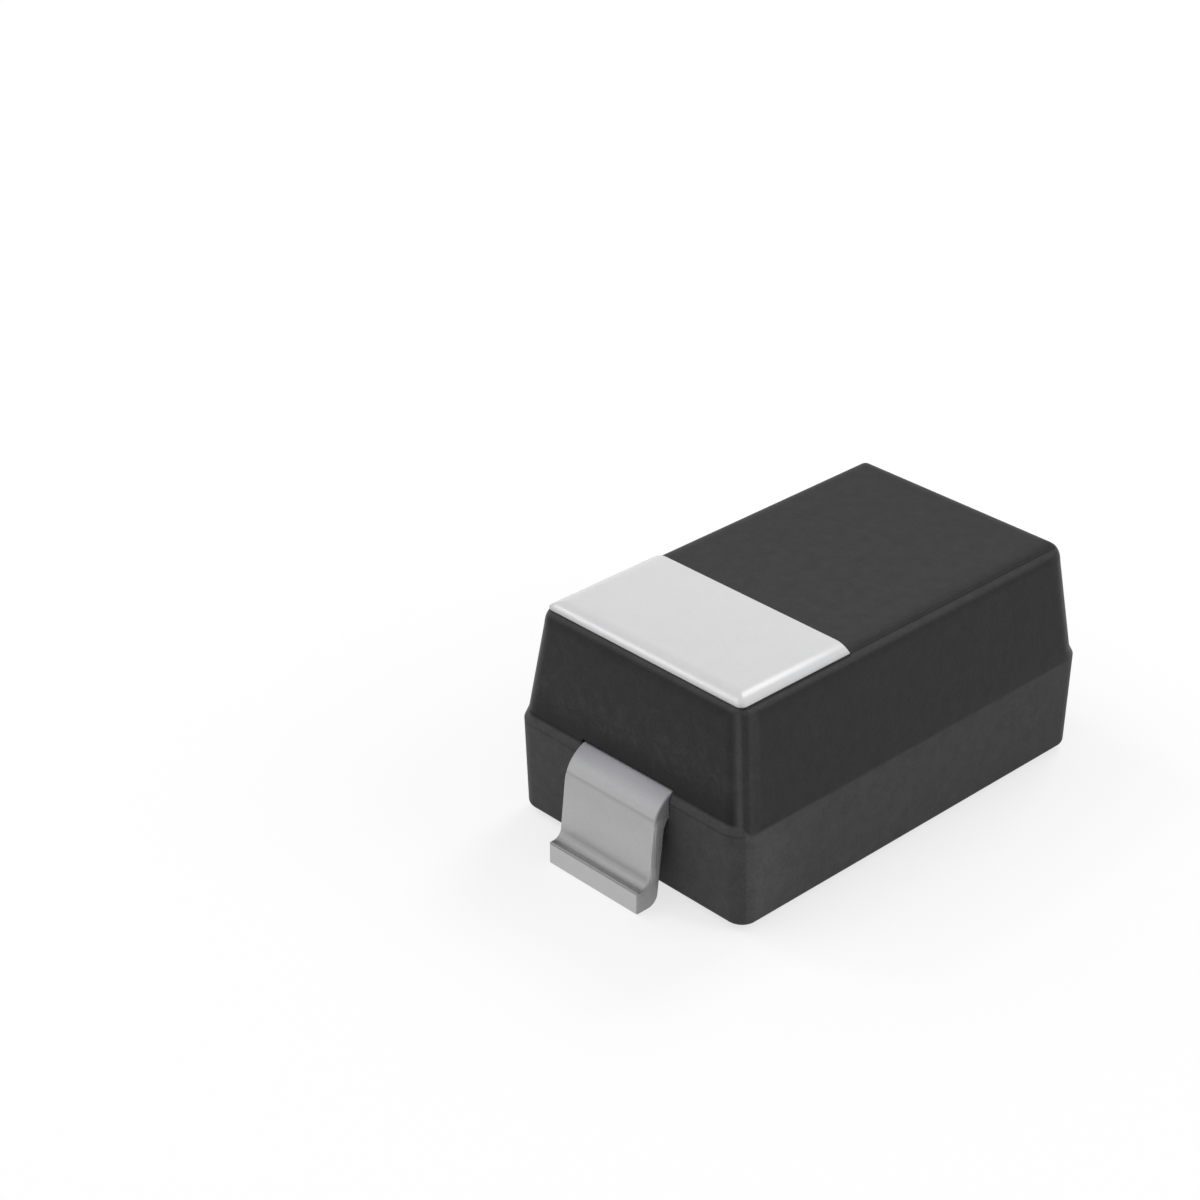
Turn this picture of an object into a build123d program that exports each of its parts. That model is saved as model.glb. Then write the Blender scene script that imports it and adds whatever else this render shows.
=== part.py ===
from build123d import *
import os
from math import cos, radians, tan

os.makedirs("parts", exist_ok=True)

# A surface mount zener diode lying on its two feet. X runs along the body from the cathode (-X, the banded
# end) to the anode (+X), Z is up, and the origin is on the seating plane under the middle. Millimetres.

# Moulded body: its outline at the parting line, its height above and below it, and the mould's drafts
body_length = 2.70
body_width = 1.65
lower_height = 0.56
upper_height = 0.69
standoff = 0.028
lower_end_draft = 4.0
lower_side_draft = 0.3
upper_end_draft = 5.9
upper_side_draft = 8.7
shoulder_depth = 0.028
shoulder_height = 0.054
bottom_edge_radius = 0.035
top_edge_radius = 0.135
corner_blend = 0.005
lower_corner_radius = 0.098
parting_corner_radius = 0.126

# Formed strips: stock, the leg pressed thin between the two bends, the bends, and the foot past the leg
lead_width = 0.655
lead_thickness = 0.132
lead_rise = 0.062
leg_thickness = 0.084
leg_slant = 6.0
leg_clearance = 0.016
foot_projection = 0.074
outer_bend_radius = 0.205
inner_bend_radius = 0.105
foot_fillet_radius = 0.05
heel_radius = 0.07
foot_edge_radius = 0.01

# Flat ends of the strips inside the body
pad_length = 1.15
pad_width = 1.0
post_length = 0.45
post_width = 0.80
pad_to_post_gap = 0.30
neck_length = 0.30
plan_corner_radius = 0.06
lock_hole_diameter = 0.20
lock_hole_margin = 0.08

# Die, its solder and its contact
die_size = 0.45
die_thickness = 0.20
die_edge_margin = 0.26
solder_thickness = 0.02
solder_margin = 0.03
contact_size = 0.30
contact_thickness = 0.01

# Bond wire
wire_diameter = 0.05
ball_diameter = 0.13
ball_height = 0.05
ball_edge_radius = 0.02
loop_height = 0.20
loop_flat = 0.28
loop_first_radius = 0.09
loop_second_radius = 0.25
stitch_length = 0.14
stitch_width = 0.10
stitch_end_margin = 0.16
stitch_tip_thickness = 0.012

# Cathode band: ink over the top, down the rounded edge to the angle where the mould leaves its witness line
band_length = 0.811
ink_thickness = 0.012
witness_angle = 37.0

# Levels, from the seating plane up
bottom_z = standoff
parting_z = bottom_z + lower_height
shoulder_z = parting_z + shoulder_height
top_z = parting_z + upper_height
strip_top_z = parting_z + lead_rise
strip_bottom_z = strip_top_z - lead_thickness


def drafted(size, height, angle):
    """A size of the outline after both of its walls have leant in over a height."""
    return size - 2 * height * tan(radians(angle))


# Outlines of the body at its four levels: height, length, width and corner radius. The corners of the top
# are a little rounder than its edges, so that the edge's rounding runs into them as a ball shape.
top_corner_radius = top_edge_radius + corner_blend
shoulder_length = body_length - 2 * shoulder_depth
top_length = drafted(shoulder_length, upper_height - shoulder_height, upper_end_draft)
top_width = drafted(body_width, upper_height, upper_side_draft)
bottom_outline = (
    bottom_z,
    drafted(body_length, lower_height, lower_end_draft),
    drafted(body_width, lower_height, lower_side_draft),
    lower_corner_radius,
)
parting_outline = (parting_z, body_length, body_width, parting_corner_radius)
shoulder_outline = (
    shoulder_z,
    shoulder_length,
    drafted(body_width, shoulder_height, upper_side_draft),
    parting_corner_radius,
)
top_outline = (top_z, top_length, top_width, top_corner_radius)

# Places along X, worked out from the body's ends inwards
body_end = body_length / 2
pad_outer_x = -(body_end - neck_length)
pad_inner_x = pad_outer_x + pad_length
post_inner_x = pad_inner_x + pad_to_post_gap
post_outer_x = post_inner_x + post_length
die_x = pad_inner_x - die_edge_margin - die_size / 2
stitch_x = post_inner_x + stitch_end_margin
die_bottom_z = strip_top_z + solder_thickness
die_top_z = die_bottom_z + die_thickness
contact_top_z = die_top_z + contact_thickness


def strip_profile(side, inner_x):
    """Side view of a strip, from a place inside the body out through its end face, down the leg and into
    the foot. side is +1 at the anode end and -1 at the cathode end, and distances are taken outwards."""
    slant = tan(radians(leg_slant))
    leg_inner_x = body_end + leg_clearance
    leg_width_x = leg_thickness / cos(radians(leg_slant))
    inner_x_at_foot = leg_inner_x + strip_bottom_z * slant
    outer_x_at_top = leg_inner_x + leg_width_x - lead_thickness * slant
    outer_x_at_foot = inner_x_at_foot + leg_width_x - lead_thickness * slant
    foot_end_x = outer_x_at_foot + foot_projection
    with BuildSketch(Plane((0, 0, 0), x_dir=(side, 0, 0), z_dir=(0, -side, 0))) as profile:
        with BuildLine():
            FilletPolyline(
                (inner_x, strip_top_z),
                (outer_x_at_top, strip_top_z),
                (outer_x_at_foot, lead_thickness),
                (foot_end_x, lead_thickness),
                (foot_end_x, 0),
                (inner_x_at_foot, 0),
                (leg_inner_x, strip_bottom_z),
                (inner_x, strip_bottom_z),
                radius=[
                    0,
                    outer_bend_radius,
                    foot_fillet_radius,
                    foot_edge_radius,
                    foot_edge_radius,
                    heel_radius,
                    inner_bend_radius,
                    0,
                ],
                close=True,
            )
        make_face()
    return profile.sketch


# Cathode lead: the strip with the pad that carries the die. The moulding compound fills its lock hole.
pad_x = (pad_outer_x + pad_inner_x) / 2
with BuildPart() as cathode_lead:
    extrude(strip_profile(-1, -pad_x), amount=lead_width / 2, both=True)
    with BuildSketch(Plane.XY.offset(strip_bottom_z)):
        with Locations((pad_x, 0)):
            RectangleRounded(pad_length, pad_width, plan_corner_radius)
    extrude(amount=lead_thickness)
    with Locations((pad_outer_x + lock_hole_margin + lock_hole_diameter / 2, 0, strip_top_z)):
        Hole(lock_hole_diameter / 2, depth=lead_thickness)
cathode_lead.part.label = "cathode_lead"

# Anode lead: the strip with the post that the wire is stitched to
post_x = (post_outer_x + post_inner_x) / 2
with BuildPart() as anode_lead:
    extrude(strip_profile(1, post_x), amount=lead_width / 2, both=True)
    with BuildSketch(Plane.XY.offset(strip_bottom_z)):
        with Locations((post_x, 0)):
            RectangleRounded(post_length, post_width, plan_corner_radius)
    extrude(amount=lead_thickness)
    with Locations((post_outer_x + lock_hole_margin + lock_hole_diameter / 2, 0, strip_top_z)):
        Hole(lock_hole_diameter / 2, depth=lead_thickness)
anode_lead.part.label = "anode_lead"

# Solder under the die, squeezed out a little past its edges
with BuildPart() as die_attach:
    with BuildSketch(Plane.XY.offset(strip_top_z)):
        with Locations((die_x, 0)):
            RectangleRounded(die_size + 2 * solder_margin, die_size + 2 * solder_margin, solder_margin)
    extrude(amount=solder_thickness)
die_attach.part.label = "die_attach"

# Zener die, sawn square
with BuildPart() as zener_die:
    with BuildSketch(Plane.XY.offset(die_bottom_z)):
        with Locations((die_x, 0)):
            Rectangle(die_size, die_size)
    extrude(amount=die_thickness)
zener_die.part.label = "zener_die"

# Aluminium contact on the die
with BuildPart() as bond_pad:
    with BuildSketch(Plane.XY.offset(die_top_z)):
        with Locations((die_x, 0)):
            Rectangle(contact_size, contact_size)
    extrude(amount=contact_thickness)
bond_pad.part.label = "bond_pad"

# Gold wire: ball on the contact, loop over the die's edge, and a flattened stitch on the post
loop_z = contact_top_z + loop_height
stitch_wire_z = strip_top_z + wire_diameter / 2
ball_top_z = contact_top_z + ball_height
with BuildPart() as bond_wire:
    with BuildSketch(Plane.XZ):
        with Locations((die_x + ball_diameter / 4, contact_top_z + ball_height / 2)):
            Rectangle(ball_diameter / 2, ball_height)
        fillet(vertices().group_by(Axis.X)[-1], ball_edge_radius)
    revolve(axis=Axis((die_x, 0, 0), (0, 0, 1)))
    with BuildLine(Plane.XZ) as loop:
        FilletPolyline(
            (die_x, ball_top_z - wire_diameter / 2),
            (die_x, loop_z),
            (die_x + loop_flat, loop_z),
            (stitch_x, stitch_wire_z),
            radius=[loop_first_radius, loop_second_radius],
        )
    with BuildSketch(Plane(loop.line @ 0, z_dir=loop.line % 0)):
        Circle(wire_diameter / 2)
    sweep(path=loop.line)
    with BuildSketch(Plane.XZ):
        with BuildLine():
            Polyline(
                (stitch_x - wire_diameter, strip_top_z),
                (stitch_x - wire_diameter, strip_top_z + wire_diameter),
                (stitch_x, strip_top_z + wire_diameter),
                (stitch_x + stitch_length, strip_top_z + stitch_tip_thickness),
                (stitch_x + stitch_length, strip_top_z),
                close=True,
            )
        make_face()
    extrude(amount=stitch_width / 2, both=True)
bond_wire.part.label = "bond_wire"

# Moulded body, cast round the leads, the die and the wire, which leave their own shapes in it
with BuildPart() as moulded_body:
    for height, length, width, corner in (bottom_outline, parting_outline, shoulder_outline, top_outline):
        with BuildSketch(Plane.XY.offset(height)):
            RectangleRounded(length, width, corner)
    loft(ruled=True)
    fillet(faces().sort_by(Axis.Z)[-1].edges(), top_edge_radius)
    fillet(faces().sort_by(Axis.Z)[0].edges(), bottom_edge_radius)
    for held in (cathode_lead, anode_lead, die_attach, zener_die, bond_pad, bond_wire):
        add(held.part, mode=Mode.SUBTRACT)
moulded_body.part.label = "moulded_body"

# Cathode band: a film of ink on the top at the cathode end, cut off at the witness line and at its own edge
ink_outline = (top_z + ink_thickness, top_length, top_width, top_corner_radius)
witness_z = top_z - top_edge_radius * (1 - cos(radians(witness_angle)))
with BuildPart() as cathode_band:
    for height, length, width, corner in (shoulder_outline, ink_outline):
        with BuildSketch(Plane.XY.offset(height)):
            RectangleRounded(length + 2 * ink_thickness, width + 2 * ink_thickness, corner + ink_thickness)
    loft(ruled=True)
    fillet(faces().sort_by(Axis.Z)[-1].edges(), top_edge_radius + ink_thickness)
    split(bisect_by=Plane.XY.offset(witness_z), keep=Keep.TOP)
    split(bisect_by=Plane.YZ.offset(band_length - top_length / 2), keep=Keep.BOTTOM)
    add(moulded_body.part, mode=Mode.SUBTRACT)
cathode_band.part.label = "cathode_band"

export_step(moulded_body.part, "parts/moulded_body.step")
export_step(cathode_band.part, "parts/cathode_band.step")
export_step(cathode_lead.part, "parts/cathode_lead.step")
export_step(anode_lead.part, "parts/anode_lead.step")
export_step(die_attach.part, "parts/die_attach.step")
export_step(zener_die.part, "parts/zener_die.step")
export_step(bond_pad.part, "parts/bond_pad.step")
export_step(bond_wire.part, "parts/bond_wire.step")
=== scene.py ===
from math import cos, pi, radians, sin, tan

import bmesh
import bpy
from mathutils import Euler, Matrix, Vector


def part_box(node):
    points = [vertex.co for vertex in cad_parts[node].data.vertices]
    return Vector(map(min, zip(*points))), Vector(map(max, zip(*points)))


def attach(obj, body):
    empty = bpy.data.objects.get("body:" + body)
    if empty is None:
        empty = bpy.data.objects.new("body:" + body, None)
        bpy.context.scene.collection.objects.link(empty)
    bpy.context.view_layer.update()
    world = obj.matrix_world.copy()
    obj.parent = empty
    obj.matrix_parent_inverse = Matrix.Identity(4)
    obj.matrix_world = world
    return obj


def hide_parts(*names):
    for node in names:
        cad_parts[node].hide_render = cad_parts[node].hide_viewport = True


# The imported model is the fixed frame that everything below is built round: a surface mount zener diode
# lying on its two feet, with the banded cathode end at -X. Sizes are in millimetres, times mm, and places
# in the materials are in millimetres as they are.
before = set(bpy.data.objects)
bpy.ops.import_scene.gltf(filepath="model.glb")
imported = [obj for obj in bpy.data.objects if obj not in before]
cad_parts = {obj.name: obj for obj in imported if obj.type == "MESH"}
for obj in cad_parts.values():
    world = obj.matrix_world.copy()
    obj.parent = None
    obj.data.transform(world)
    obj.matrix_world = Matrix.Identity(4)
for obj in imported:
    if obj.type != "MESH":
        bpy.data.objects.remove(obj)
scene = bpy.context.scene
scene.view_settings.view_transform = "Standard"
mm = 0.001
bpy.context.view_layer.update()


# Camera: it looks down on the cathode end and one long side, through a long lens.
camera_place = Vector((-9.966, -8.880, 8.532)) * mm
camera_azimuth = radians(-43.593)
camera_down = radians(29.19)
camera_data = bpy.data.cameras.new("camera")
camera_data.sensor_width = 36.0
camera_data.lens = 86.43
camera_data.clip_start = 1 * mm
camera_data.clip_end = 1.0
camera = bpy.data.objects.new("camera", camera_data)
camera.location = camera_place
camera.rotation_euler = Euler((pi / 2 - camera_down, 0, camera_azimuth))
scene.collection.objects.link(camera)
scene.camera = camera


# Studio: a plain white table and a pale surround, lit by soft boxes. To the camera, and in what metal and
# gloss reflect, the table is white, and a faint shadow of the part stays on it.
class Socket:
    """One output of a shader node. Sums, products and the like of it add Math nodes to its tree."""

    def __init__(self, tree, output=None):
        self.tree = tree
        self.output = output

    def node(self, kind, settings=None, output=0, **inputs):
        """Adds a node: its settings first, then its sockets' values or links, by name or as i and a number.
        Gives one of its outputs."""
        made = self.tree.nodes.new("ShaderNode" + kind)
        for name, value in (settings or {}).items():
            setattr(made, name, value)
        for name, value in inputs.items():
            key = int(name[1:]) if name[0] == "i" and name[1:].isdigit() else name.replace("_", " ")
            if isinstance(value, Socket):
                self.tree.links.new(value.output, made.inputs[key])
            else:
                made.inputs[key].default_value = value
        return Socket(self.tree, made.outputs[output] if made.outputs else None)

    def maths(self, operation, *values):
        return self.node("Math", {"operation": operation}, **{f"i{i}": v for i, v in enumerate(values)})

    def __add__(self, other):
        return self.maths("ADD", self, other)

    def __sub__(self, other):
        return self.maths("SUBTRACT", self, other)

    def __rsub__(self, other):
        return self.maths("SUBTRACT", other, self)

    def __mul__(self, other):
        return self.maths("MULTIPLY", self, other)

    def __abs__(self):
        return self.maths("ABSOLUTE", self)

    __radd__ = __add__
    __rmul__ = __mul__

    def between(self, low, high, smooth=True):
        """0 below low and 1 above high, with a ramp in between. low may be the higher number."""
        kind = {"interpolation_type": "SMOOTHSTEP" if smooth else "LINEAR"}
        return self.node("MapRange", kind, Value=self, From_Min=low, From_Max=high)

    def within(self, start, full, fade, end):
        """A zone: it rises from start to full, stays 1 up to fade, and is gone at end."""
        return self.between(start, full) * self.between(end, fade)


def shader_tree(owner):
    """The empty node tree of a material or world, as a socket to start from."""
    owner.use_nodes = True
    owner.node_tree.nodes.clear()
    return Socket(owner.node_tree)


def seen_directly(tree):
    """1 for rays from the camera and for mirrored or transmitted rays, 0 for rays that carry light."""
    camera_ray, glossy_ray, clear_ray = (
        tree.node("LightPath", output=name)
        for name in ("Is Camera Ray", "Is Glossy Ray", "Is Transmission Ray")
    )
    return tree.maths("MAXIMUM", camera_ray, tree.maths("MAXIMUM", glossy_ray, clear_ray))


def grey(tone, blue=1.0):
    """A neutral colour of one linear tone, or a slightly bluish one."""
    return (tone, tone, tone * blue, 1.0)


def blended(first, second, share):
    """The colour between two, by a share that a socket gives: 0 is all of the first."""
    return share.node("Mix", {"data_type": "RGBA"}, output=2, Factor=share, i6=first, i7=second)


surround_horizon = grey(1.0)
surround_zenith = grey(0.60, 1.03)
surround_full_height = 0.85
surround_light = 0.70
world = bpy.data.worlds.new("surround")
scene.world = world
tree = shader_tree(world)
height = tree.node("SeparateXYZ", output=2, Vector=tree.node("TexCoord", output=0))
surround_colour = blended(surround_horizon, surround_zenith, height.between(0.0, surround_full_height))
surround_strength = surround_light + (1 - surround_light) * seen_directly(tree)
surround_shader = tree.node("Background", Color=surround_colour, Strength=surround_strength)
tree.node("OutputWorld", Surface=surround_shader)

table_size = 400 * mm
table_white = grey(0.8)
table_lift = 0.62
table_glow = 1.15
table_mesh = bmesh.new()
bmesh.ops.create_grid(table_mesh, x_segments=1, y_segments=1, size=table_size / 2)
table_data = bpy.data.meshes.new("table")
table_mesh.to_mesh(table_data)
table_mesh.free()
table = bpy.data.objects.new("table", table_data)
scene.collection.objects.link(table)
table_finish = bpy.data.materials.new("table_finish")
tree = shader_tree(table_finish)
table_shader = tree.node(
    "MixShader",
    i0=table_lift * seen_directly(tree),
    i1=tree.node("BsdfDiffuse", Color=table_white),
    i2=tree.node("Emission", Strength=table_glow),
)
tree.node("OutputMaterial", Surface=table_shader)
table_data.materials.append(table_finish)

box_distance = 60 * mm


def soft_box(name, azimuth, elevation, width, height, power):
    """An area lamp that faces the part. Azimuth 0 is +X and 90 is +Y, as seen from the part."""
    lamp_data = bpy.data.lights.new(name, "AREA")
    lamp_data.shape = "RECTANGLE"
    lamp_data.size = width
    lamp_data.size_y = height
    lamp_data.energy = power
    lamp = bpy.data.objects.new(name, lamp_data)
    turn = radians(azimuth)
    lift = radians(elevation)
    away = Vector((cos(turn) * cos(lift), sin(turn) * cos(lift), sin(lift)))
    lamp.location = away * box_distance
    lamp.rotation_euler = away.to_track_quat("Z", "Y").to_euler()
    lamp.visible_camera = False
    scene.collection.objects.link(lamp)


soft_box("box_behind", azimuth=14, elevation=51, width=18 * mm, height=18 * mm, power=0.0078)
soft_box("box_behind_cathode", azimuth=105, elevation=50, width=9 * mm, height=9 * mm, power=0.003)
soft_box("box_beside_anode", azimuth=-55, elevation=38, width=36 * mm, height=36 * mm, power=0.007)
soft_box("box_beside_cathode", azimuth=135, elevation=58, width=36 * mm, height=24 * mm, power=0.006)


# Leads: strips of tin-plated nickel-iron, cut and formed in the press. Each comes out of an end of the
# body, bends down a leg that is pressed thin, and ends in a short foot. Inside, it widens to a flat.
lead_width = 0.655 * mm
lead_thickness = 0.132 * mm
leg_thickness = 0.084 * mm
leg_slant = 6.0
leg_clearance = 0.016 * mm
foot_projection = 0.074 * mm
outer_bend_radius = 0.205 * mm
inner_bend_radius = 0.105 * mm
foot_fillet_radius = 0.05 * mm
heel_radius = 0.07 * mm
foot_edge_radius = 0.01 * mm
bend_segments = 12
lead_rim_radius = 0.009 * mm
lead_rim_segments = 3
crease_z = 0.512 * mm
crease_width = 0.024 * mm
crease_depth = 0.006 * mm
pad_start_x = 1.05 * mm
pad_width = 1.0 * mm
post_start_x = 0.85 * mm
post_length = 0.45 * mm
post_width = 0.8 * mm
flat_corner_radius = 0.06 * mm
flat_corner_segments = 6

# From the seating plane to the parting line, and from there to the top of the strips
lower_height = 0.56 * mm
lead_rise = 0.062 * mm
body_low, body_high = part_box("moulded_body")
strip_top_z = body_low.z + lower_height + lead_rise
strip_bottom_z = strip_top_z - lead_thickness

# Places nearer than this are one. Edges that turn by more than sharp_turn are rims to be rounded, and
# finished edges that turn by less than smooth_turn are shaded smooth.
touching = 1e-8
sharp_turn = radians(60)
smooth_turn = radians(50)


def rounded_by(angle, radius):
    """How far from an edge or corner a rounding of a radius starts, where the faces turn by an angle."""
    return radius * tan(radians(angle) / 2)


def bevelled(mesh, parts, offset, segments, affect="EDGES", loop_slide=False):
    """Rounds some edges of a mesh, or some corners where affect is VERTICES."""
    bmesh.ops.bevel(
        mesh,
        geom=parts,
        offset=offset,
        segments=segments,
        profile=0.5,
        affect=affect,
        material=-1,
        loop_slide=loop_slide,
    )


def cut_at(mesh, place, facing, clear_outer=False):
    """Cuts a mesh's faces with a plane. What lies on the side that it faces can be cleared away."""
    bmesh.ops.bisect_plane(
        mesh,
        geom=mesh.verts[:] + mesh.edges[:] + mesh.faces[:],
        dist=1e-9,
        plane_co=place,
        plane_no=facing,
        clear_outer=clear_outer,
    )


def cut_for_groove(mesh, height, width):
    """Cuts a mesh level along both sides and the middle of a groove."""
    for offset in (-width / 2, 0, width / 2):
        cut_at(mesh, (0, 0, height + offset), (0, 0, 1))


def doubled_face(mesh, face):
    """A new face on top of an old one, joined to its edges by walls that have no height yet."""
    return bmesh.ops.extrude_discrete_faces(mesh, faces=[face])["faces"][0]


def drawn_out(mesh, faces, way, keep=False):
    """Draws faces out of a mesh along a vector, with walls behind them, and may keep the first faces."""
    drawn = bmesh.ops.extrude_face_region(mesh, geom=faces, use_keep_orig=keep)["geom"]
    verts = [part for part in drawn if isinstance(part, bmesh.types.BMVert)]
    bmesh.ops.translate(mesh, verts=verts, vec=way)


def lead_form(side, flat_x, flat_length, flat_width):
    """A formed strip from its foot to the end of its flat. Side is 1 at the anode end and -1 at the other,
    and distances are taken outwards. The flat starts at flat_x inside the body."""
    slant = tan(radians(leg_slant))
    leg_inner_x = body_high.x + leg_clearance
    leg_width_x = leg_thickness / cos(radians(leg_slant))
    inner_x_at_foot = leg_inner_x + strip_bottom_z * slant
    outer_x_at_top = leg_inner_x + leg_width_x - lead_thickness * slant
    outer_x_at_foot = inner_x_at_foot + leg_width_x - lead_thickness * slant
    foot_end_x = outer_x_at_foot + foot_projection
    leg_turn = 90 - leg_slant
    # The side view's corners: place along X, height, radius, and the angle that the outline turns by
    corners = (
        (flat_x, strip_top_z, 0, 0),
        (outer_x_at_top, strip_top_z, outer_bend_radius, leg_turn),
        (outer_x_at_foot, lead_thickness, foot_fillet_radius, leg_turn),
        (foot_end_x, lead_thickness, foot_edge_radius, 90),
        (foot_end_x, 0, foot_edge_radius, 90),
        (inner_x_at_foot, 0, heel_radius, leg_turn),
        (leg_inner_x, strip_bottom_z, inner_bend_radius, leg_turn),
        (flat_x, strip_bottom_z, 0, 0),
    )
    mesh = bmesh.new()
    outline = [mesh.verts.new((side * x, -lead_width / 2, z)) for x, z, radius, turn in corners]
    mesh.faces.new(outline)
    for vert, (x, z, radius, turn) in zip(outline, corners):
        if radius:
            bevelled(mesh, [vert], rounded_by(turn, radius), bend_segments, affect="VERTICES")
    drawn_out(mesh, mesh.faces[:], (0, lead_width, 0), keep=True)
    bmesh.ops.recalc_face_normals(mesh, faces=mesh.faces)

    # The flat: the strip's end face grown to its width, drawn out to its length and rounded at its corners
    end = next(f for f in mesh.faces if all(abs(v.co.x - side * flat_x) < touching for v in f.verts))
    shoulder = doubled_face(mesh, end)
    bmesh.ops.scale(mesh, verts=shoulder.verts, vec=(1, flat_width / lead_width, 1))
    flat_end = doubled_face(mesh, shoulder)
    bmesh.ops.translate(mesh, verts=flat_end.verts, vec=(-side * flat_length, 0, 0))
    flat_edges = [
        e for e in mesh.edges
        if all(abs(abs(v.co.y) - flat_width / 2) < touching for v in e.verts)
        and abs(e.verts[0].co.z - e.verts[1].co.z) > lead_thickness / 2
    ]
    bevelled(mesh, flat_edges, flat_corner_radius, flat_corner_segments)

    # Rims along both sheared sides, and the crease that the press leaves under the bend
    rims = [
        e for e in mesh.edges
        if all(abs(abs(v.co.y) - lead_width / 2) < touching and side * v.co.x > flat_x for v in e.verts)
        and e.calc_face_angle(0) > sharp_turn
    ]
    bevelled(mesh, rims, lead_rim_radius, lead_rim_segments)
    cut_for_groove(mesh, crease_z, crease_width)
    for vert in mesh.verts:
        if abs(vert.co.z - crease_z) < touching and side * vert.co.x > leg_inner_x + leg_width_x / 2:
            vert.co.x -= side * crease_depth
    bmesh.ops.recalc_face_normals(mesh, faces=mesh.faces)
    return mesh


def finished_piece(name, mesh, finish, slot, *nodes):
    """Turns a mesh into a piece of the object that stands for CAD nodes, in a finish. Its faces are shaded
    smooth, except across sharp edges. The slot is not used."""
    for edge in mesh.edges:
        edge.smooth = edge.calc_face_angle(0) < smooth_turn
    for face in mesh.faces:
        face.smooth = True
    data = bpy.data.meshes.new(name)
    mesh.to_mesh(data)
    mesh.free()
    data.materials.append(finish)
    piece = bpy.data.objects.new(name, data)
    scene.collection.objects.link(piece)
    shading = piece.modifiers.new("flat_faces_rule", "WEIGHTED_NORMAL")
    shading.keep_sharp = True
    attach(piece, "root")
    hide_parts(*nodes)


def place_in_mm(tree, stretch=(1, 1, 1)):
    """Object coordinates in millimetres. A stretch above 1 packs a pattern closer along that axis."""
    metres = tree.node("TexCoord", output=3)
    scale = [factor / mm for factor in stretch]
    return tree.node("Mapping", {"vector_type": "POINT"}, Vector=metres, Scale=scale)


def coordinate(tree, axis):
    """The place along one axis, in millimetres: 0 is along the body, 1 across it and 2 up."""
    return tree.node("SeparateXYZ", output=axis, Vector=place_in_mm(tree))


def mottle(tree, size, stretch=(1, 1, 1), detail=3.0, swirl=0.0):
    """A noise from 0 to 1 about 0.5, whose spots are about as large as a size in millimetres."""
    return tree.node(
        "TexNoise",
        Vector=place_in_mm(tree, stretch),
        Scale=1 / size,
        Detail=detail,
        Roughness=0.6,
        Distortion=swirl,
    )


def layered(colour, *layers):
    """A colour with others laid over it in turn, each in its own zone."""
    for layer, zone in layers:
        colour = blended(colour, layer, zone)
    return colour


def shaded(colour, shade):
    """A colour times another, which is a socket."""
    settings = {"data_type": "RGBA", "blend_type": "MULTIPLY"}
    return shade.node("Mix", settings, output=2, Factor=1.0, i6=colour, i7=shade)


def toned(colour, low, high, noise):
    """A colour made darker and lighter by a noise, between two factors."""
    return shaded(colour, blended(grey(low), grey(high), noise.between(0.25, 0.75, smooth=False)))


def relief(heights, strength, depth):
    """Fine heights and hollows on a surface, for the Normal of its shader."""
    return heights.node("Bump", Height=heights, Strength=strength, Distance=depth)


def surfaced(tree, **sockets):
    """Closes a material's tree with its shader, whose sockets are given."""
    tree.node("OutputMaterial", Surface=tree.node("BsdfPrincipled", **sockets))


# Tin: matte and fine-grained. The press leaves lines along the leg's sheared sides, and the fillet over the
# foot a little rougher than the flat of the leg. Painted shade darkens the other sheared sides, the fillet
# and the crease. Painted reflections darken the bend's top and the foot's top, and lighten the foot's end.
tin_face = grey(0.48, 1.01)
tin_upper_leg = grey(0.45, 1.01)
tin_bend_low = grey(0.475, 1.01)
# Painted reflection: the bend's top is darker and bluish, like the sky that it faces
tin_bend_top_sky_reflection = grey(0.30, 1.04)
# Painted reflection of the dark leg and body on the foot's top, and painted shade in the fillet over the
# foot
tin_foot_top_dark_reflection = grey(0.29)
tin_fillet_shade = grey(0.41)
# Painted shade in the crease under the bend
tin_crease_shade = grey(0.42)
# Painted reflection of the bright table, which makes the foot's end face lighter
tin_foot_end_table_reflection = grey(0.53, 1.01)
# Painted shade on the sheared sides off the leg
tin_sheared_shade = grey(0.33, 1.01)
tin_sheared_leg = grey(0.50, 1.01)
tin_finish = bpy.data.materials.new("tinned_lead")
tree = shader_tree(tin_finish)
level = coordinate(tree, 2)

# Heights are counted from the top of the foot and from the crease
above_foot = level - lead_thickness / mm
above_crease = level - crease_z / mm
past_side = abs(coordinate(tree, 1)) - lead_width / 2 / mm
sheared_side = past_side.between(-0.010, -0.002)
thin_leg = above_foot.between(-0.002, 0.068) * above_crease.between(0.028, -0.052)
fillet_zone = above_foot.within(-0.014, -0.008, 0.038, 0.098)
grain = mottle(tree, 0.014)
patches = mottle(tree, 0.07, detail=4.0)
streaks = mottle(tree, 0.011, stretch=(1, 1, 0.06), detail=2.0)
# The bend darkens up its top with the painted reflection of the sky
bend_reflection_tone = blended(tin_bend_low, tin_bend_top_sky_reflection, above_crease.between(0.048, 0.110))
# Painted shade in the fillet and on the foot's top
fillet_shade_tone = blended(tin_foot_top_dark_reflection, tin_fillet_shade, above_foot.between(0.005, 0.018))
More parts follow.
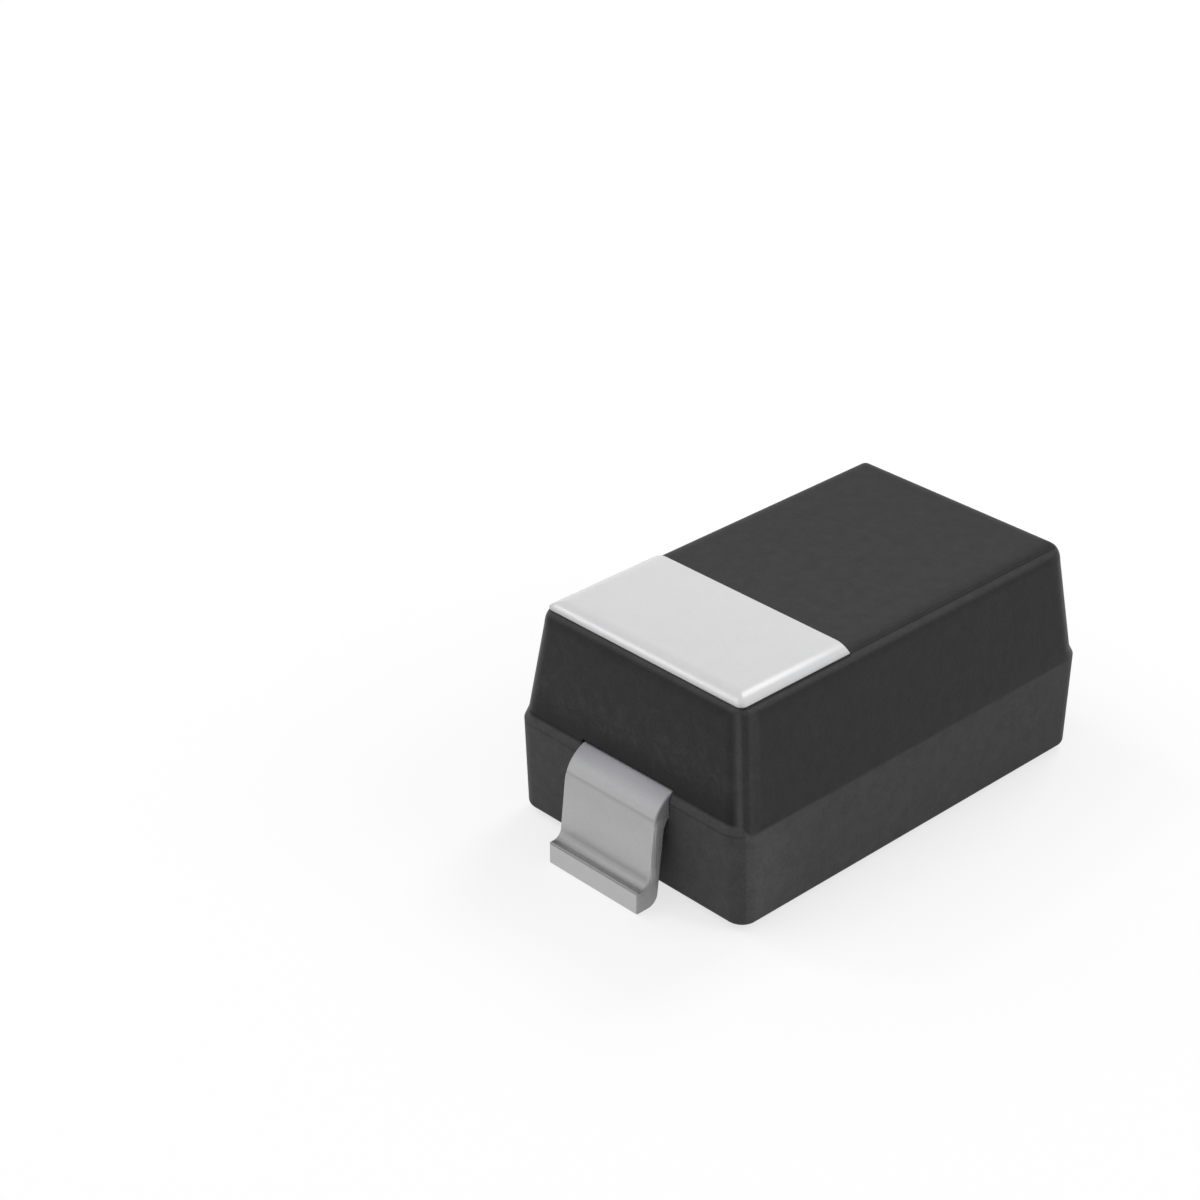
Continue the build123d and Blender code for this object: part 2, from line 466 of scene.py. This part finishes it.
# Painted shade on the sheared sides, with the leg's own streaks
side_shade_and_streak_tone = blended(tin_sheared_shade, toned(tin_sheared_leg, 0.75, 1.25, streaks), thin_leg)
strip_tone = layered(
    tin_face,
    (tin_upper_leg, above_crease.between(-0.212, -0.012)),
    (bend_reflection_tone, above_crease.between(0.003, 0.018)),
    (fillet_shade_tone, fillet_zone),
    (tin_crease_shade, above_crease.within(-0.027, -0.002, 0.002, 0.018)),
    (tin_foot_end_table_reflection, above_foot.between(-0.008, -0.014)),
    (side_shade_and_streak_tone, sheared_side),
)
tin_heights = grain + patches * (0.5 + 2.0 * fillet_zone) + streaks * sheared_side
surfaced(
    tree,
    Base_Color=toned(toned(strip_tone, 0.985, 1.015, patches), 0.95, 1.05, grain),
    Metallic=1.0,
    Roughness=0.52 + 0.12 * grain,
    Normal=relief(tin_heights, 0.4, 0.0012 * mm),
)

pad_length = pad_start_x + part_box("cathode_lead")[1].x
pad_strip = lead_form(-1, pad_start_x, pad_length, pad_width)
post_strip = lead_form(1, post_start_x, post_length, post_width)
finished_piece("cathode_lead_strip", pad_strip, tin_finish, "tinned_lead", "cathode_lead")
finished_piece("anode_lead_strip", post_strip, tin_finish, "tinned_lead", "anode_lead")


# Moulded body: black silica-filled epoxy, cast round the leads in a two-part mould. Its walls lean in by
# the mould's drafts, a narrow shoulder runs above the parting line at both ends, and its edges are round.
shoulder_height = 0.054 * mm
shoulder_depth = 0.028 * mm
lower_end_draft = 4.0
lower_side_draft = 0.3
upper_end_draft = 5.9
upper_side_draft = 8.7
top_edge_radius = 0.135 * mm
bottom_edge_radius = 0.035 * mm
bottom_edge_segments = 8
lower_corner_radius = 0.098 * mm
parting_corner_radius = 0.126 * mm
edge_corner_radius = 0.105 * mm
tip_corner_radius = 0.004 * mm
tip_sharpening = 2.5
corner_segments = 16
mould_edge_offset = 0.004 * mm
mould_edge_segments = 2
witness_angle = 37.0
groove_width = 0.011 * mm
groove_depth = 0.003 * mm
gap_width = 0.005 * mm
gap_depth = 0.015 * mm
end_wall_x = 1.2 * mm


def drafted(size, height, angle):
    """A size of the outline after both of its walls have leant in over a height."""
    return size - 2 * height * tan(radians(angle))


body_length = body_high.x - body_low.x
body_width = body_high.y - body_low.y
parting_z = body_low.z + lower_height
shoulder_z = parting_z + shoulder_height
upper_height = body_high.z - parting_z
shoulder_length = body_length - 2 * shoulder_depth
shoulder_width = drafted(body_width, shoulder_height, upper_side_draft)
top_length = drafted(shoulder_length, upper_height - shoulder_height, upper_end_draft)
top_width = drafted(body_width, upper_height, upper_side_draft)
witness_z = body_high.z - top_edge_radius * (1 - cos(radians(witness_angle)))
bottom_level = (
    body_low.z,
    drafted(body_length, lower_height, lower_end_draft),
    drafted(body_width, lower_height, lower_side_draft),
    lower_corner_radius,
)
parting_level = (parting_z, body_length, body_width, parting_corner_radius)
shoulder_level = (shoulder_z, shoulder_length, shoulder_width, parting_corner_radius)


def half_size(sharp_half, draft, tilt, grow):
    """Half of the body's length or width where its rounded edge faces a tilt from straight up. The walls
    below the rounding lean out by their draft, and all of it is grown by a thickness."""
    lean = radians(draft)
    centre = sharp_half - rounded_by(90 - draft, top_edge_radius)
    turned = min(tilt, pi / 2 - lean)
    below = (top_edge_radius + grow) * (cos(turned) - cos(tilt))
    return centre + (top_edge_radius + grow) * sin(turned) + below * tan(lean)


def edge_levels(grow, steps=24):
    """Outlines up over the rounded top edge. Their corners sharpen on the way up, because the walls'
    corners were rounded after the edges met in a mitre."""
    levels = []
    for step in range(steps + 1):
        tilt = radians(90 - upper_end_draft) * (1 - step / steps)
        levels.append(
            (
                body_high.z - top_edge_radius + (top_edge_radius + grow) * cos(tilt),
                2 * half_size(top_length / 2, upper_end_draft, tilt, grow),
                2 * half_size(top_width / 2, upper_side_draft, tilt, grow),
                tip_corner_radius + (edge_corner_radius + grow) * sin(tilt) ** tip_sharpening,
            )
        )
    return levels


def raise_outline(face, below, above):
    """Moves an outline from its level to the next one. Its corners keep their turn and change radius."""
    _, *old_sizes, old_radius = below
    height, *new_sizes, new_radius = above
    for vert in face.verts:
        for axis in (0, 1):
            side = 1 if vert.co[axis] > 0 else -1
            turn = (abs(vert.co[axis]) - old_sizes[axis] / 2 + old_radius) / old_radius
            vert.co[axis] = side * (new_sizes[axis] / 2 - new_radius + new_radius * turn)
        vert.co.z = height


def body_form(levels):
    """A solid through outlines at several heights, given as height, length, width and corner radius."""
    mesh = bmesh.new()
    height, length, width, radius = levels[0]
    place = Matrix.Translation((0, 0, height)) @ Matrix.Diagonal((length, width, 1, 1))
    corners = bmesh.ops.create_grid(mesh, x_segments=1, y_segments=1, size=0.5, matrix=place)["verts"]
    bevelled(mesh, corners, radius, corner_segments, affect="VERTICES")
    bottom_edges = mesh.edges[:]
    outline = mesh.faces[:][0]
    for below, above in zip(levels, levels[1:]):
        outline = doubled_face(mesh, outline)
        raise_outline(outline, below, above)
    bmesh.ops.contextual_create(mesh, geom=bottom_edges)
    bmesh.ops.recalc_face_normals(mesh, faces=mesh.faces)
    return mesh


def round_level(mesh, height, offset, segments):
    """Rounds the edges of a solid that lie at a height."""
    edges = [e for e in mesh.edges if all(abs(v.co.z - height) < touching for v in e.verts)]
    bevelled(mesh, edges, offset, segments, loop_slide=True)


body_mesh = body_form([bottom_level, parting_level, shoulder_level] + edge_levels(0))
bottom_edge_offset = rounded_by(90 - lower_end_draft, bottom_edge_radius)
round_level(body_mesh, body_low.z, bottom_edge_offset, bottom_edge_segments)

# The witness line is a fine groove round the top's edge, and the mould's own edges are not quite sharp
cut_for_groove(body_mesh, witness_z, groove_width)
body_mesh.normal_update()
for vert in body_mesh.verts:
    share = 1 - abs(vert.co.z - witness_z) / (groove_width / 2)
    if share > 0:
        vert.co -= vert.normal * groove_depth * share
for mould_edge_z in (parting_z, shoulder_z):
    round_level(body_mesh, mould_edge_z, mould_edge_offset, mould_edge_segments)

# A fine gap shows round each strip where it leaves the compound, in the wall beyond end_wall_x
gap_y = lead_width / 2 + gap_width
gap_low_z = strip_bottom_z - gap_width
gap_high_z = strip_top_z + gap_width
for gap_side_y in (gap_y, -gap_y):
    cut_at(body_mesh, (0, gap_side_y, 0), (0, 1, 0))
for gap_side_z in (gap_low_z, gap_high_z):
    cut_at(body_mesh, (0, 0, gap_side_z), (0, 0, 1))
for side in (-1, 1):
    outlet = []
    for face in body_mesh.faces:
        middle = face.calc_center_median()
        beside_strip = abs(middle.y) < gap_y and gap_low_z < middle.z < gap_high_z
        if side * middle.x > end_wall_x and beside_strip:
            outlet.append(face)
    drawn_out(body_mesh, outlet, (-side * gap_depth, 0, 0))
    bmesh.ops.delete(body_mesh, geom=[face for face in outlet if face.is_valid], context="FACES")
bmesh.ops.recalc_face_normals(body_mesh, faces=body_mesh.faces)

# Compound: the top, moulded by the insert, and the lower half are matte and grainy. The walls above the
# parting line are smoother, with faint flow marks on the ends. Their darker tone is painted shade, standing
# for the darker sky that they reflect, and the lower half's lighter tone is a painted reflection of the
# bright table. Edges and corners carry painted highlights, painted shade lies low on the ends and deepens
# toward the anode end, and painted light sits near the corners of the lower half.
# Painted shade: the upper walls' tone, darker like the darker sky that they reflect
compound_upper_wall_shade = grey(0.0205)
# Painted shade low on the end walls, above the strips
compound_end_foot_shade = grey(0.010)
compound_top = grey(0.034)
# Painted reflection of the bright table, which makes the lower half lighter
compound_lower_table_reflection = grey(0.051)
# Painted light on the lower half's long sides, near the corners at the cathode end
compound_corner_light = grey(0.074)
# Painted shade along the body: a little lighter at the cathode end and darker toward the anode end
cathode_end_light = grey(1.05)
anode_end_shade = grey(0.76)
flow_mark = grey(0.034)
# Painted highlights along the rounding under the witness line and down the corners
edge_highlight = grey(0.048)
end_edge_highlight = grey(0.058)
# Painted highlight along the shoulder's edge on the ends
shoulder_highlight = grey(0.057)
# Painted shade for the dark lines in the witness groove, beside the ink's long edges and just below the
# parting line on the ends
seam_shade = grey(0.012)
band_edge_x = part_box("cathode_band")[1].x
half_length = body_high.x / mm
compound_finish = bpy.data.materials.new("moulding_compound")
tree = shader_tree(compound_finish)
along = coordinate(tree, 0)
across = coordinate(tree, 1)
level = coordinate(tree, 2)
grain = mottle(tree, 0.016)
blotches = mottle(tree, 0.08, detail=4.0)
flow_strokes = mottle(tree, 0.075, detail=2.0, swirl=1.2).between(0.46, 0.64)

# Heights are counted from the parting line and from the witness line
above_parting = level - parting_z / mm
above_witness = level - witness_z / mm

# Zones of the mould: the top, both end walls with painted shade low down on them, the lower half, the flow
# marks, and the run to the anode end, along which painted shade deepens
top_zone = above_witness.between(-0.0023, 0.0017)
end_zone = (abs(along) - half_length).between(-0.10, -0.04)
# Painted shade low on the end walls
end_foot_shade = end_zone * above_parting.between(0.262, 0.092)
lower_zone = (above_parting - 0.045 * end_zone).between(0.004, -0.024)
flow_height = above_parting.between(0.072, 0.262) * above_witness.between(-0.041, -0.131)
flow_zone = end_zone * flow_height * (1 - lower_zone)
matte_zone = tree.maths("MAXIMUM", top_zone, lower_zone)
run = along.between(-half_length, half_length, smooth=False)

# Round the corners: 0 on the corner's ridge, less on the end's side of it and more on the long side's.
# The ridge leans, because the long sides lean in more than the ends.
ridge_lean = 0.05
ridge_offset = 0.474
corner_place = abs(across) - abs(along) + ridge_lean * level + ridge_offset
end_side = corner_place.between(0.025, -0.015)
corner_zone = corner_place.within(-0.075, -0.040, 0.100, 0.150)
# Painted highlights in lines down the corners, on the end's side and on the long side's
end_corner_highlight = corner_place.within(-0.050, -0.020, -0.008, 0.018)
side_corner_highlight = corner_place.within(0.045, 0.062, 0.066, 0.112)
# Painted light on the lower half beside the corners at the cathode end
corner_light_zone = lower_zone * corner_place.within(0.012, 0.032, 0.05, 0.60) * (1 - run)

# Lines along the edges: painted highlights on the rounding under the witness line, down the corners and on
# the shoulder's edge, each with a line of painted shade, and another line of painted shade where the ink's
# long edges lie over the compound
corner_highlight_share = 0.36 * corner_zone + 0.64 * end_corner_highlight + 0.42 * side_corner_highlight
corner_highlight = corner_highlight_share * above_witness.between(-0.0038, -0.0408)
rim_highlight_rise = (above_witness - 0.008 * end_side).between(-0.0528, -0.0268)
rim_highlight = rim_highlight_rise * above_witness.between(-0.0068, -0.0168)
# Painted shade in the witness groove
witness_shade_line = above_witness.between(-0.0128, -0.0068)
beside_ink = (along - band_edge_x / mm).between(0.01, 0.0) * (1 - end_side)
ink_shadow_line = beside_ink * above_witness.between(-0.0218, -0.0158)
# Painted highlight on the shoulder's edge
shoulder_highlight_zone = end_side * above_parting.within(-0.004, 0.008, 0.028, 0.052)
shoulder_shade_line = end_side * above_parting.within(-0.020, -0.011, -0.004, 0.004)
highlight_tone = blended(edge_highlight, end_edge_highlight, end_side)
zone_tone = layered(
    compound_upper_wall_shade,
    (compound_end_foot_shade, end_foot_shade),
    (flow_mark, flow_strokes * flow_zone * 0.5),
    (highlight_tone, tree.maths("MAXIMUM", rim_highlight, corner_highlight)),
    (seam_shade, witness_shade_line),
    (seam_shade, ink_shadow_line * 0.8),
    (compound_lower_table_reflection, lower_zone),
    (compound_top, top_zone),
    (shoulder_highlight, shoulder_highlight_zone),
    (seam_shade, shoulder_shade_line * 0.3),
    (compound_corner_light, corner_light_zone * 0.7),
)
# The painted shade along the body's run to the anode end
body_tone = shaded(zone_tone, blended(cathode_end_light, anode_end_shade, run))
body_heights = grain * (0.4 + 0.6 * matte_zone) + 2.0 * blotches * (1 - matte_zone)
surfaced(
    tree,
    Base_Color=toned(toned(body_tone, 0.84, 1.16, blotches), 0.86, 1.14, grain),
    Roughness=0.40 + 0.14 * matte_zone + 0.08 * grain,
    Specular_IOR_Level=0.16,
    Normal=relief(body_heights, 0.6, 0.002 * mm),
)
finished_piece("moulded_body_skin", body_mesh, compound_finish, "moulding_compound", "moulded_body")


# Cathode band: white ink printed over the top at the cathode end. It stops at the witness line that the
# mould's insert leaves round the edge, and its rim is rounded.
ink_thickness = 0.012 * mm
ink_rim_radius = 0.007 * mm
ink_rim_segments = 4
band_mesh = body_form(edge_levels(ink_thickness))
cut_at(band_mesh, (0, 0, witness_z), (0, 0, -1), clear_outer=True)
cut_at(band_mesh, (band_edge_x, 0, 0), (1, 0, 0), clear_outer=True)
bmesh.ops.solidify(band_mesh, geom=band_mesh.faces, thickness=ink_thickness)
bmesh.ops.recalc_face_normals(band_mesh, faces=band_mesh.faces)
# The rim is each sharp edge round the film's upper face
ink_rim = [
    e for e in band_mesh.edges
    if e.calc_face_angle(0) > sharp_turn and any(f.normal.z > 0.1 for f in e.link_faces)
]
bevelled(band_mesh, ink_rim, ink_rim_radius, ink_rim_segments)

# Ink: a pale grey, satin and nearly even, a little thinner in places, with painted shade down over the edge
# where it turns away from the light
ink_flat = grey(0.70)
ink_edge_shade = grey(0.58)
ink_finish = bpy.data.materials.new("marking_ink")
tree = shader_tree(ink_finish)
above_witness = coordinate(tree, 2) - witness_z / mm
ink_flow = mottle(tree, 0.12)
ink_grain = mottle(tree, 0.018)
# Painted shade, darker down over the edge
ink_tone = blended(ink_flat, ink_edge_shade, above_witness.between(0.0172, 0.0017))
surfaced(
    tree,
    Base_Color=toned(toned(ink_tone, 0.985, 1.015, ink_flow), 0.985, 1.015, ink_grain),
    Roughness=0.23 + 0.06 * ink_grain,
    Normal=relief(ink_grain + 2.0 * ink_flow, 0.3, 0.001 * mm),
)
finished_piece("cathode_band_ink", band_mesh, ink_finish, "marking_ink", "cathode_band")


# Sealed in the compound: the die on its solder, its aluminium contact and the gold wire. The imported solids
# stay as they are, each in its own finish of two close tones with a fine grain.
sealed_finishes = (
    # finish, CAD node, light tone, dark tone, size of the spots, metallic, roughness
    ("solder", "die_attach", (0.46, 0.46, 0.47, 1.0), (0.38, 0.38, 0.39, 1.0), 0.03, 1.0, 0.5),
    ("silicon", "zener_die", (0.12, 0.13, 0.16, 1.0), (0.10, 0.11, 0.14, 1.0), 0.01, 0.0, 0.3),
    ("contact_metal", "bond_pad", (0.80, 0.80, 0.81, 1.0), (0.74, 0.74, 0.75, 1.0), 0.008, 1.0, 0.3),
    ("gold_wire", "bond_wire", (0.88, 0.64, 0.24, 1.0), (0.82, 0.58, 0.20, 1.0), 0.01, 1.0, 0.2),
)
for name, node, light, dark, spot, metallic, roughness in sealed_finishes:
    finish = bpy.data.materials.new(name)
    tree = shader_tree(finish)
    spots = mottle(tree, spot)
    surfaced(
        tree,
        Base_Color=blended(dark, light, spots.between(0.3, 0.7)),
        Metallic=metallic,
        Roughness=roughness + 0.1 * spots,
        Normal=relief(spots, 0.4, 0.001 * mm),
    )
    for material_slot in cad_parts[node].material_slots:
        material_slot.material = finish
